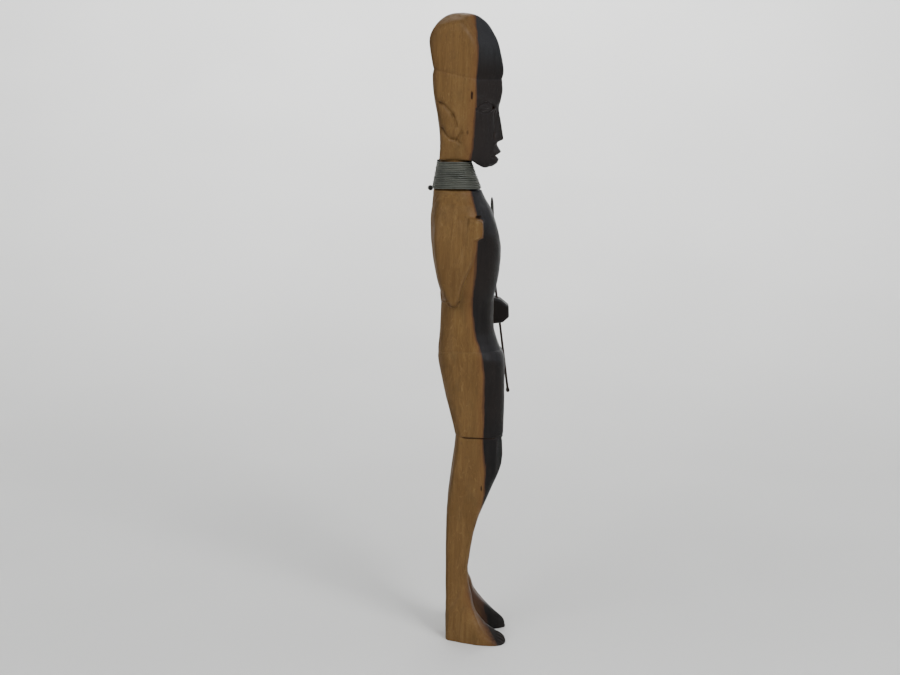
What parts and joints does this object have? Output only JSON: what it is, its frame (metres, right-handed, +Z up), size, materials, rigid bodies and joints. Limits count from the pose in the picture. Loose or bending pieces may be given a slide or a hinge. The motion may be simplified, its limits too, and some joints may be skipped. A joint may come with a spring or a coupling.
{
  "type": "fertility doll",
  "caption": "Slim standing doll carved from one block of two-tone hardwood, with a wire coil round its neck and a thin spear held in its left fist.",
  "frame": {"origin": "on the floor, at the middle of the whole outline seen from above", "axes": "+X the way the figure faces, +Y its left, +Z up"},
  "size_m": [0.0446, 0.041, 0.3074],
  "materials": {
    "hardwood": "satin, brown sapwood behind and near-black heartwood in front",
    "coil_wire": "dull, tarnished grey-green",
    "spear_metal": "dark and dull, brown at the lower end"
  },
  "bodies": {
    "figure": {"carved_figure": "hardwood"},
    "coil": {"neck_coil": "coil_wire"},
    "spear": {"spear": "spear_metal"}
  },
  "joints": [
    {"name": "coil_turn", "type": "hinge", "parent": "figure", "child": "coil", "pos_m": [-0.0085, 0, 0.2246], "axis": [0, 0, 1], "range_deg": [-25, 25]},
    {"name": "spear_slide", "type": "slide", "parent": "figure", "child": "spear", "axis": [-0.1454, 0, 0.9894], "range_m": [-0.008, 0.028]}
  ]
}
